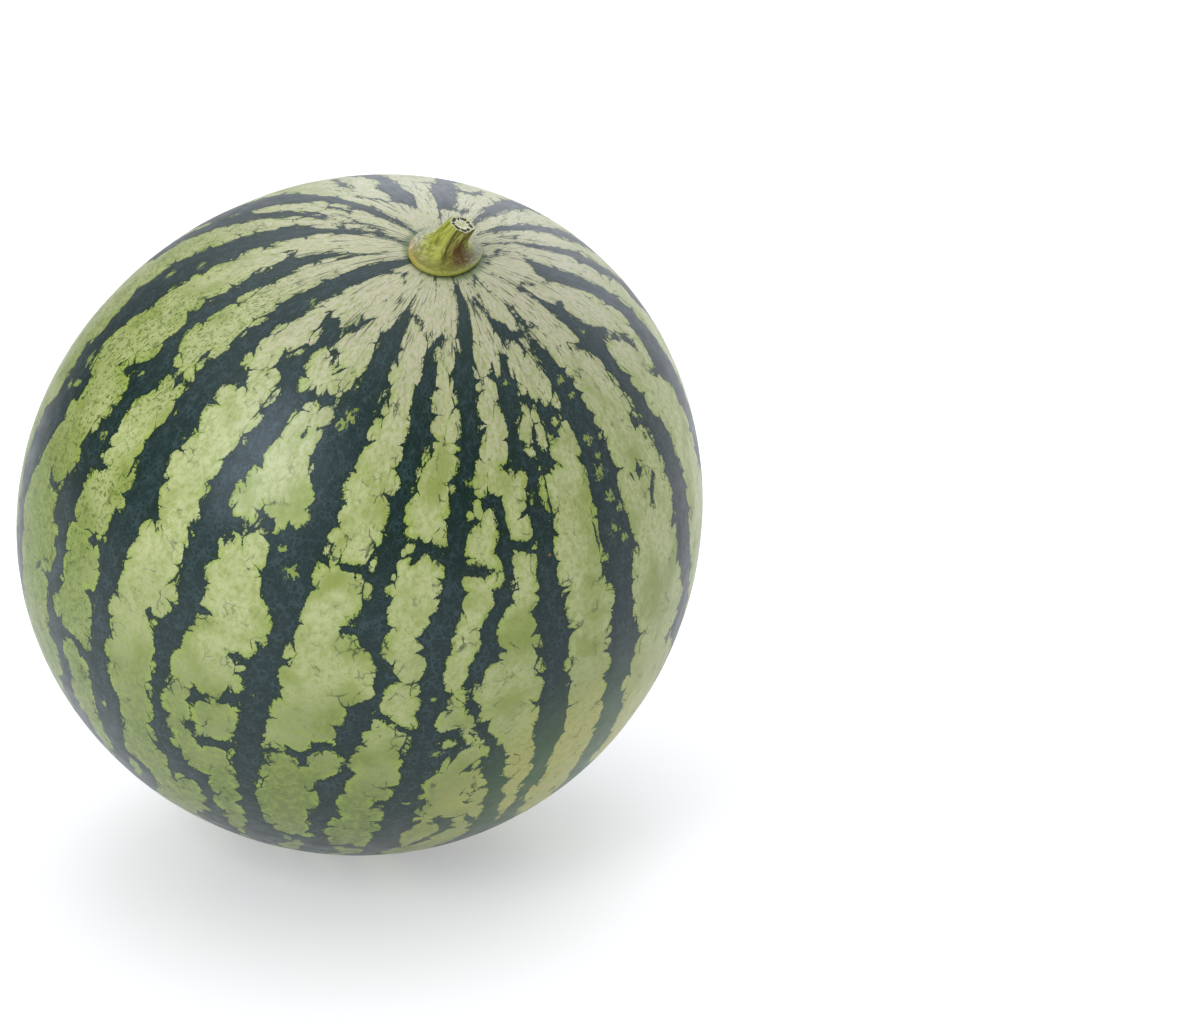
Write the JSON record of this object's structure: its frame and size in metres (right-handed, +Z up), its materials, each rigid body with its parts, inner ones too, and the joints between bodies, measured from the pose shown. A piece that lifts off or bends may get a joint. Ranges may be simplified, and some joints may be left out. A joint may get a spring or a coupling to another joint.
{
  "type": "whole watermelon",
  "caption": "Round striped watermelon with a short cut stem, leaning a little and resting on its own flat spot.",
  "frame": {"origin": "bottom centre of the whole object's box, on the plane that the fruit rests on", "axes": "+Z up from the resting plane; the stem leans forward and to the right, towards -Y and +X"},
  "size_m": [0.2, 0.1952, 0.1989],
  "materials": {
    "rind": "satin",
    "stem": "satin"
  },
  "bodies": {
    "root": {"fruit": "rind", "stem": "stem"}
  },
  "joints": []
}
